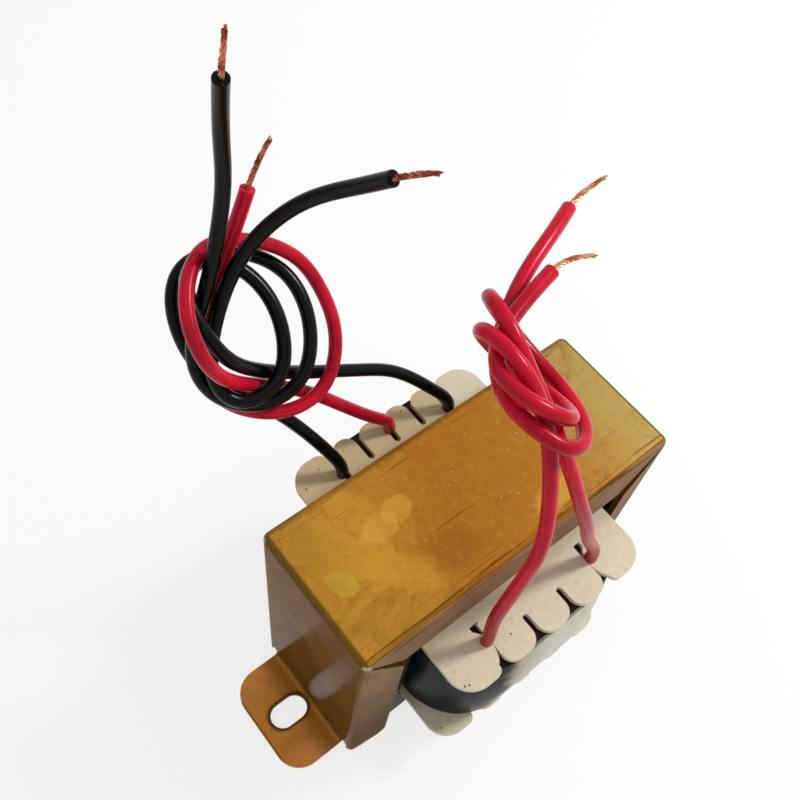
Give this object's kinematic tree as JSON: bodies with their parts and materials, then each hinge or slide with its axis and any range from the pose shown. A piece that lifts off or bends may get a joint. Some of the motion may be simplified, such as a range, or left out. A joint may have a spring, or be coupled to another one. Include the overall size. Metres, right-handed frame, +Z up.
{
  "type": "frame-mount transformer with flying leads",
  "caption": "Laminated EI transformer in a folded, varnished steel mounting frame with slotted feet, a cream slotted bobbin, and knotted red and black flying leads.",
  "frame": {"origin": "bottom centre of the mounting frame and bobbin together, on the surface that the feet stand on", "axes": "+X from one mounting foot to the other, +Y through the stack away from the side with two red leads, +Z up to the top panel"},
  "size_m": [0.0792, 0.0653, 0.1141],
  "materials": {
    "varnished_steel": "gloss",
    "silicon_steel": "satin",
    "cream_nylon": "satin",
    "magnet_wire": "satin",
    "polyester_tape": "gloss",
    "black_tape": "gloss",
    "red_pvc": "satin",
    "black_pvc": "satin",
    "stripped_copper": "satin"
  },
  "bodies": {
    "root": {"mounting_frame": "varnished_steel", "e_laminations_up": "silicon_steel", "e_laminations_down": "silicon_steel", "i_laminations_top": "silicon_steel", "i_laminations_bottom": "silicon_steel", "bobbin": "cream_nylon", "primary_winding": "magnet_wire", "interwinding_insulation": "polyester_tape", "secondary_winding": "magnet_wire", "outer_wrap": "black_tape", "lead_front_left_red": "red_pvc", "lead_front_right_red": "red_pvc", "lead_back_left_black": "black_pvc", "lead_back_middle_red": "red_pvc", "lead_back_right_black": "black_pvc", "copper_end_front_left": "stripped_copper", "copper_end_front_right": "stripped_copper", "copper_end_back_left": "stripped_copper", "copper_end_back_middle": "stripped_copper", "copper_end_back_right": "stripped_copper"}
  },
  "joints": []
}
